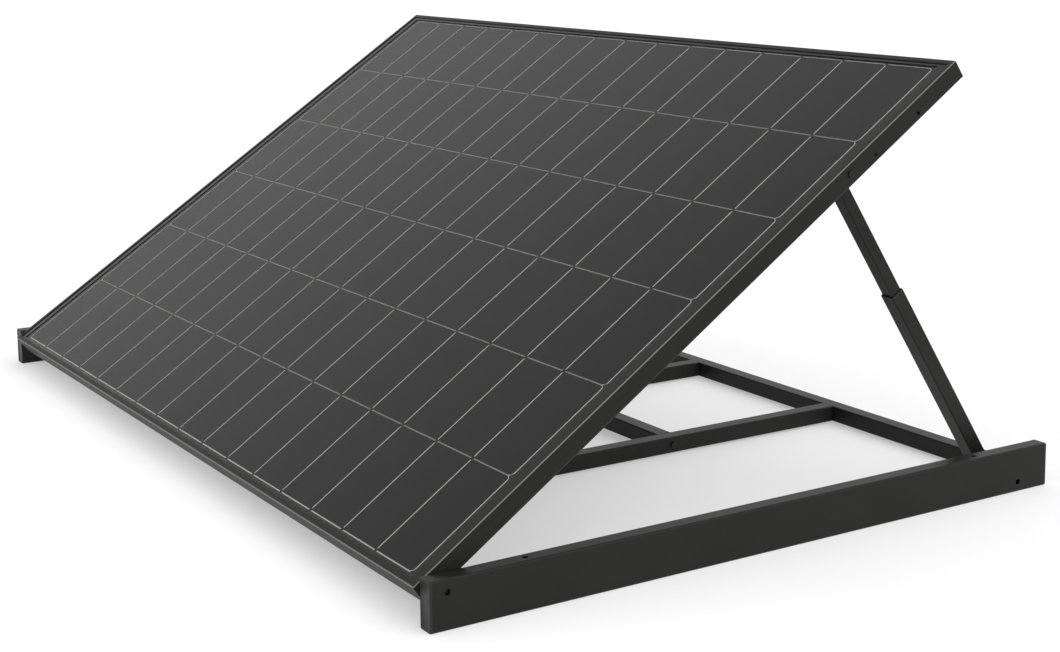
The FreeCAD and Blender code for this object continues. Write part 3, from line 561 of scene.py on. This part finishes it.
def wheel_pattern():
    """A ribbed wheel: ribs stand round the rim of a shallow disc."""
    tree = Pattern("Ribbed wheels", {"Radius": 0.0062, "Height": WHEEL_HEIGHT,
                                     "Rib": 0.0008, "Ribs": 20})
    height, rib = tree.given["Height"], tree.given["Rib"]
    core = tree.node("GeometryNodeMeshCylinder", {}, {
        "Vertices": 48, "Radius": tree.given["Radius"], "Depth": height * 0.84})
    crown = tree.node("GeometryNodeMeshCone", {}, {
        "Vertices": 48, "Radius Top": tree.given["Radius"] * 0.86,
        "Radius Bottom": tree.given["Radius"], "Depth": height * 0.16})
    upright = tree.node("GeometryNodeMeshCylinder", {}, {
        "Vertices": 8, "Radius": rib, "Depth": height * 0.84})
    rim = tree.node("GeometryNodeMeshCircle", {}, {
        "Vertices": tree.given["Ribs"], "Radius": tree.given["Radius"]})
    ribs = tree.node("GeometryNodeInstanceOnPoints", {}, {"Points": rim,
                                                          "Instance": upright})
    wheel = tree.joined(tree.stood(core, height * 0.42), tree.stood(ribs, height * 0.42),
                        tree.stood(crown, height * 0.84))
    tree.close(tree.set_out(wheel))
    return tree


ribbed_wheels = wheel_pattern()
for side, out in (("left", -1), ("right", 1)):
    low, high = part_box(f"strut_collar_{side}")
    width = high.x - low.x
    mouth = strut_frame(side) @ Matrix.Translation((0, 0, STRUT_MOUTH))
    skirt = rounded_outline(width - SKIRT_SHY, STRUT_DEPTH - SKIRT_SHY, COLLAR_CORNER)
    bore = rounded_outline(width - BORE_SHY, STRUT_DEPTH - BORE_SHY, BORE_CORNER)
    flared = rounded_outline(width - BORE_SHY + FLARE, STRUT_DEPTH - BORE_SHY + FLARE,
                             FLARE_CORNER)
    rings = [
        (skirt, -SKIRT_DEPTH), (skirt, 0),
        (rounded_outline(width, STRUT_DEPTH, COLLAR_CORNER), 0),
        *rounded_rim(width, STRUT_DEPTH, COLLAR_CORNER, COLLAR_ROUND, COLLAR_FLANGE,
                     kept_corner=True),
        (flared, COLLAR_FLANGE), (bore, COLLAR_FLANGE - FLARE_DEPTH), (bore, -SKIRT_DEPTH)]
    collar = bmesh.new()
    loft(collar, rings, mouth, ring_round=True)
    piece(f"Strut_collar_{side}", collar, f"strut_outer_{side}", cap_plastic,
          [f"strut_collar_{side}"])

    low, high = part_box(f"clamp_screw_{side}")
    inner, outer = (low.x, high.x) if out > 0 else (high.x, low.x)
    under_head = inner + out * WHEEL_HEIGHT
    centre = (low + high) / 2
    spot = ((under_head, centre.y, centre.z), (-out, 0, 0))
    wheel = ribbed_wheels.mesh(f"Clamp_screw_{side}", aimed_points(f"Clamp_{side}", [spot]),
                               cap_plastic)
    shank = bmesh.new()
    shank.from_mesh(wheel)
    bmesh.ops.create_cone(
        shank, cap_ends=True, segments=20, radius1=CLAMP_SHANK_RADIUS,
        radius2=CLAMP_SHANK_RADIUS, depth=abs(outer - under_head),
        matrix=Matrix.Translation(((under_head + outer) / 2, centre.y, centre.z))
        @ Matrix.Rotation(math.pi / 2, 4, "Y"))
    shank.to_mesh(wheel)
    shank.free()
    piece(f"Clamp_screw_{side}", wheel, f"clamp_{side}", cap_plastic,
          [f"clamp_screw_{side}"], smooth=30)


# ---- Module frame ----
# Four mitred lengths of one aluminium extrusion, keyed at the corners. The die leaves
# fine lines along each length, and black anodising keeps them as a satin streak.

TILT = math.radians(34.3)
FRAME_DEPTH = 0.030
MODULE_LENGTH, MODULE_WIDTH = 1.762, 1.134
ARRIS_START, ARRIS_FULL = 0.0016, 0.0008
frame_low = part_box("module_frame_left")[0]
seat = (Matrix.Translation((0, frame_low.y, frame_low.z + FRAME_DEPTH * math.cos(TILT)))
        @ Matrix.Rotation(TILT, 4, "X"))
level = seat.inverted()


def on_module(finish, stretch=(1, 1, 1)):
    """Place on the module: along it, up its slope, and square to the glass."""
    return finish.spot(turn=(-TILT, 0, 0), shift=level.translation, stretch=stretch)


def module_place(finish):
    """A point's place from the module's middle: along it, up it and off the glass."""
    parted = finish.node("ShaderNodeSeparateXYZ", {}, {"Vector": on_module(finish)})
    return parted["X"], parted["Y"] - MODULE_WIDTH / 2, parted["Z"]


def anodised(name, lengthways, foot_highlight_share):
    """Black anodising, with a painted highlight along its outer top arrises and, by a given
    share, along its foot.
    """
    finish = Finish(name)
    die_lines = finish.noise(on_module(finish, lengthways), 900, 3)
    cloud = finish.noise(on_module(finish), 7, 2)
    rounded, edge = finish.soft_edge(0.0010)
    x, y, depth = module_place(finish)
    end, side = [finish.within(abs(place), size / 2 - ARRIS_START, size / 2 - ARRIS_FULL)
                 for place, size in ((x, MODULE_LENGTH), (y, MODULE_WIDTH))]
    outside = end.greatest(side)
    top = finish.within(depth, -0.0018, -0.0010)
    foot = 1 - finish.within(depth, 0.0016 - FRAME_DEPTH, 0.0024 - FRAME_DEPTH)
    arris_highlight = outside * top.greatest(foot * foot_highlight_share)
    # The outer arrises are painted pale as a highlight, and every edge a little paler as a
    # painted highlight too.
    colour = finish.between(die_lines * 0.08 + arris_highlight + edge * 0.15, (0.0085, 0.0085, 0.0081),
                            (0.17, 0.17, 0.163))
    return finish.surface(
        Base_Color=colour, IOR=1.2, Roughness=0.36 + die_lines * 0.12 + cloud * 0.06,
        Normal=finish.relief(die_lines, 0.000012, rounded))


dress(anodised("anodised_long_members", (0.01, 1, 1), 0.8),
      "module_frame_front", "module_frame_rear")
dress(anodised("anodised_short_members", (1, 0.01, 1), 0.1),
      "module_frame_left", "module_frame_right")


def mill_aluminium():
    finish = Finish("mill_aluminium")
    grain = finish.noise(on_module(finish, (1, 1, 20)), 150, 4)
    return finish.surface(
        Base_Color=finish.between(grain, (0.60, 0.61, 0.62), (0.75, 0.76, 0.77)),
        Metallic=1.0, Roughness=0.35 + grain * 0.2)


def foam_tape():
    finish = Finish("foam_tape")
    cells = finish.noise(finish.spot(), 2500, 2)
    return finish.surface(
        Base_Color=finish.between(cells, (0.008, 0.008, 0.008), (0.022, 0.022, 0.022)),
        Roughness=0.8, Normal=finish.relief(cells, 0.0001))


dress(mill_aluminium(), "module_corner_keys")
dress(foam_tape(), "glazing_tape")


# ---- Silicon half cells ----
# Ninety-six monocrystalline wafers with nipped corners, laid sixteen by six under the
# glass. Each has a near-black nitride coat and ten thin ribbons across its short way.

CELL = (0.1042, 0.182)
PITCH = (0.1056, 0.1831)
COLUMNS, ROWS = 16, 6
NIP = 0.003
FILM_TOP, WAFER = -0.0049, 0.00005
RIBBONS = 10
FIELD_ROUND = 0.008
FIELD_BORDER = 0.0006
HALF_FIELD = COLUMNS * PITCH[0] / 2 + FIELD_BORDER
AR_GLASS_IOR = 1.24
BARE_EDGE = 0.00105
END_LINE, END_LINE_REACH = -0.0009, 0.0005
RIBBON_REACH = 0.018
CROSSING = 0.0034
COLUMN_LINE = (0.46, 0.46, 0.44)
ROW_LINE = (0.19, 0.19, 0.182)


def wafer_pattern():
    """Nipped rectangles with a little thickness, set out as a grid."""
    tree = Pattern("Half cells", {
        "Cell X": CELL[0], "Cell Y": CELL[1], "Pitch X": PITCH[0], "Pitch Y": PITCH[1],
        "Nip": NIP, "Thickness": WAFER, "Columns": COLUMNS, "Rows": ROWS})
    given = tree.given
    field = tree.node("GeometryNodeMeshGrid", {}, {
        "Size X": given["Pitch X"] * (given["Columns"] - 1),
        "Size Y": given["Pitch Y"] * (given["Rows"] - 1),
        "Vertices X": given["Columns"], "Vertices Y": given["Rows"]})
    outline = tree.node("GeometryNodeCurvePrimitiveQuadrilateral", {}, {
        "Width": given["Cell X"], "Height": given["Cell Y"]})
    nipped = tree.node("GeometryNodeFilletCurve", {"mode": "POLY"}, {
        "Curve": outline, "Radius": given["Nip"], "Count": 1})
    face = tree.node("GeometryNodeFillCurve", {"mode": "NGONS"}, {"Curve": nipped})
    wafer = tree.node("GeometryNodeExtrudeMesh", {}, {
        "Mesh": face, "Offset Scale": given["Thickness"]})
    tree.close(tree.node("GeometryNodeInstanceOnPoints", {}, {
        "Points": field, "Instance": wafer}))
    return tree


def by_line(place, pitch, reach):
    """One within reach of the lines that part the cells, nought elsewhere."""
    return (place / pitch + 0.5).remainder().near(0.5, reach / pitch)


def field_rim(x, y):
    """How far outside the rows' rounded ends a point lies."""
    half_row = PITCH[1] / 2
    across = (abs((y / PITCH[1]).remainder() - 0.5) * PITCH[1]).above(half_row - FIELD_ROUND)
    along = abs(x).above(HALF_FIELD - FIELD_ROUND)
    return (across ** 2 + along ** 2) ** 0.5 - FIELD_ROUND


def nitride_silicon():
    finish = Finish("nitride_silicon")
    x, y, _ = module_place(finish)
    pair = finish.node("ShaderNodeCombineXYZ", {}, {
        "X": (x / PITCH[0]).whole(), "Y": (y / PITCH[1]).whole()})
    lot = finish.node("ShaderNodeTexWhiteNoise", {"noise_dimensions": "3D"}, {"Vector": pair})
    ribbon = (y * (RIBBONS / PITCH[1])).remainder().near(0.5, RIBBON_REACH)
    coat = finish.between(lot["Value"], (0.0042, 0.0042, 0.0044), (0.0062, 0.0062, 0.0060))
    beside_column = by_line(x, PITCH[0], BARE_EDGE)
    beside_row = by_line(y, PITCH[1], BARE_EDGE)
    off_crossing = 1 - by_line(y, PITCH[1], CROSSING)
    at_end = finish.within(abs(x), HALF_FIELD - FIELD_ROUND, HALF_FIELD - FIELD_ROUND + 0.001)
    bare = (beside_column * off_crossing).greatest(
        field_rim(x, y).near(END_LINE, END_LINE_REACH) * at_end)
    colour = finish.between(ribbon * 0.12, coat, (0.06, 0.06, 0.058))
    colour = finish.between(beside_row, colour, ROW_LINE)
    return finish.surface(
        Base_Color=finish.between(bare, colour, COLUMN_LINE),
        Roughness=0.17 + lot["Value"] * 0.02, IOR=AR_GLASS_IOR)


wafers = wafer_pattern().mesh("Half_cells", bpy.data.meshes.new("Half_cells"),
                              nitride_silicon())
wafers.transform(seat @ Matrix.Translation((0, MODULE_WIDTH / 2, FILM_TOP)))
piece("Half_cells", wafers, "module", None, ["half_cell_wafers"])


# ---- Laminate sheets ----
# The pale carrier film shows between the cells as hairlines. Glass 3.2 mm thick lies over
# it, and a black polymer sheet closes the back. The glass is plain clear, so the faint
# sheen of its anti-reflective skin is given to the cells, film and sheet under it.

UNLIT = (0.006, 0.006, 0.006)
ROW_LINE_REACH = 0.0016
END_MARGIN, HIGH_MARGIN, LOW_MARGIN = (0.8545, 0.8565), (0.5505, 0.5520), (0.5540, 0.5555)


def carrier_film():
    finish = Finish("pale_carrier_film")
    x, y, _ = module_place(finish)
    inner_row = by_line(y, PITCH[1], ROW_LINE_REACH) * (
        1 - finish.within(abs(y), (ROWS / 2 - 0.5) * PITCH[1], (ROWS / 2 - 0.4) * PITCH[1]))
    lines = finish.between(inner_row, COLUMN_LINE, ROW_LINE)
    crossing = by_line(y, PITCH[1], CROSSING) * by_line(x, PITCH[0], CROSSING)
    dark = crossing.greatest(finish.within(field_rim(x, y), 0.0, 0.0002))
    return finish.surface(Base_Color=finish.between(dark, lines, UNLIT), Roughness=0.3,
                          IOR=AR_GLASS_IOR)


def solar_glass():
    """Clear glass. Light leaves it everywhere, but its margin looks dark from above."""
    finish = Finish("solar_glass")
    x, y, depth = module_place(finish)
    margin = finish.within(abs(x), *END_MARGIN).greatest(
        finish.within(y, *HIGH_MARGIN)).greatest(finish.within(0 - y, *LOW_MARGIN))
    outer_face = finish.within(depth, -0.0035, -0.0025)
    leaving = finish.node("ShaderNodeNewGeometry")["Backfacing"]
    skin = finish.node("ShaderNodeBsdfPrincipled", {}, {
        "Base Color": (*UNLIT, 1), "Roughness": 0.18, "IOR": AR_GLASS_IOR})
    clear = finish.node("ShaderNodeBsdfTransparent", {}, {"Color": (0.97, 0.975, 0.97, 1)})
    both = finish.node("ShaderNodeMixShader", {}, {
        0: margin * outer_face * (1 - leaving), 1: clear, 2: skin})
    finish.node("ShaderNodeOutputMaterial", {}, {"Surface": both})
    return finish.material


def backing_sheet():
    """Embossed behind, and wetted smooth where it shows through the glass."""
    finish = Finish("black_backing_sheet")
    emboss = finish.noise(on_module(finish), 700, 3)
    sag = finish.noise(on_module(finish), 6, 2)
    behind = 1 - finish.within(module_place(finish)[2], -0.0058, -0.0054)
    return finish.surface(
        Base_Color=finish.between(emboss, (0.006, 0.006, 0.006), (0.016, 0.016, 0.0156)),
        Roughness=0.18 + behind * (0.26 + emboss * 0.12), IOR=1.3,
        Normal=finish.relief((emboss * 0.05 + sag) * behind, 0.0005))


dress(carrier_film(), "cell_carrier_film")
dress(solar_glass(), "front_glass")
dress(backing_sheet(), "rear_sheet")


# ---- Junction boxes ----
# Three moulded trays bonded to the back sheet, with snap-on lids. The two outer ones
# carry a stepped gland for a lead, and each tray holds a flat diode on its spreader.

SHEET_BACK = -0.0061
BOX_SIZE, BOX_WALL, BOX_INSET = (0.062, 0.040, 0.015), 0.002, 0.190
LID_THICKNESS, LID_ROUND, LID_CORNER = 0.002, 0.0012, 0.004
PANEL_SHY, PANEL_CORNER = 0.010, 0.002
PANEL_FLOOR_SHY, PANEL_FLOOR_CORNER, PANEL_DEPTH = 0.0112, 0.0016, 0.0007
GLAND_PROFILE = [(0.0044, 0.0), (0.0044, 0.002), (0.0076, 0.002), (0.0076, 0.0055),
                 (0.0068, 0.006), (0.0066, 0.0125), (0.0052, 0.014), (0.003, 0.014),
                 (0.003, 0.0)]
GLAND_SIDES = 32

box_plastic = moulding("box_polyphenylene", (0.010, 0.010, 0.010), (0.032, 0.032, 0.031),
                       1100, 0.46)
dress(box_plastic, "junction_box_low", "junction_box_middle", "junction_box_high")
box_slopes = {"low": BOX_INSET, "middle": MODULE_WIDTH / 2, "high": MODULE_WIDTH - BOX_INSET}

lids = bmesh.new()
for slope in box_slopes.values():
    under = (seat @ Matrix.Translation((0, slope, SHEET_BACK - BOX_SIZE[2]))
             @ Matrix.Rotation(math.pi, 4, "X"))
    length, width, _ = BOX_SIZE
    rings = [
        (rounded_outline(length, width, LID_CORNER), 0),
        *rounded_rim(length, width, LID_CORNER, LID_ROUND, LID_THICKNESS),
        (rounded_outline(length - PANEL_SHY, width - PANEL_SHY, PANEL_CORNER),
         LID_THICKNESS),
        (rounded_outline(length - PANEL_FLOOR_SHY, width - PANEL_FLOOR_SHY,
                         PANEL_FLOOR_CORNER), LID_THICKNESS - PANEL_DEPTH)]
    loft(lids, rings, under)
piece("Junction_box_lids", lids, "module", box_plastic,
      ["junction_box_lids"])

gland_middle = SHEET_BACK - BOX_SIZE[2] / 2
glands = bmesh.new()
for slope, way in ((box_slopes["low"], -1), (box_slopes["high"], 1)):
    inside = slope + way * (BOX_SIZE[1] / 2 - BOX_WALL)
    wall = (seat @ Matrix.Translation((0, inside, gland_middle))
            @ Matrix.Rotation(-way * math.pi / 2, 4, "X"))
    turns = [math.tau * step / GLAND_SIDES for step in range(GLAND_SIDES)]
    rings = [([(radius * math.cos(turn), radius * math.sin(turn)) for turn in turns], height)
             for radius, height in GLAND_PROFILE]
    loft(glands, rings, wall, ring_round=True)
piece("Cable_glands", glands, "module", box_plastic, ["cable_glands"],
      smooth=30)


def diode_epoxy():
    finish = Finish("diode_epoxy")
    grain = finish.noise(finish.spot(), 1500, 3)
    return finish.surface(
        Base_Color=finish.between(grain, (0.035, 0.035, 0.04), (0.07, 0.07, 0.075)),
        Roughness=0.4 + grain * 0.2, Normal=finish.relief(grain, 0.00003))


dress(diode_epoxy(), "bypass_diodes")


# ---- Studio ----
# The stand rests on a plain pale floor that glows a little, under an even white sky. One
# broad soft lamp stands high up, to the right and somewhat behind.

FLOOR_REACH = 30
LAMP_FROM = Vector((0.75, 0.35, 0.55))

floor_mesh = bpy.data.meshes.new("Floor")
floor_mesh.from_pydata([(x * FLOOR_REACH, y * FLOOR_REACH, 0)
                        for x, y in ((-1, -1), (1, -1), (1, 1), (-1, 1))], [],
                       [(0, 1, 2, 3)])
floor = bpy.data.objects.new("Floor", floor_mesh)
scene.collection.objects.link(floor)
studio_floor = Finish("pale_floor")
floor_mesh.materials.append(studio_floor.surface(
    Base_Color=studio_floor.between(studio_floor.noise(studio_floor.spot(), 3),
                                    (0.58, 0.58, 0.58), (0.61, 0.61, 0.61)),
    Roughness=0.9, Specular_IOR_Level=0.1,
    Emission_Color=(1, 1, 1, 1), Emission_Strength=0.40))

sky = bpy.data.worlds.new("Studio")
sky.use_nodes = True
background = sky.node_tree.nodes["Background"]
background.inputs["Color"].default_value = (1, 1, 1, 1)
background.inputs["Strength"].default_value = 1.0
scene.world = sky

lamp = bpy.data.objects.new("Softbox", bpy.data.lights.new("Softbox", "SUN"))
lamp.data.energy = 0.9
lamp.data.angle = math.radians(60)
lamp.rotation_euler = LAMP_FROM.to_track_quat("Z", "Y").to_euler()
scene.collection.objects.link(lamp)
scene.view_settings.view_transform = "Standard"
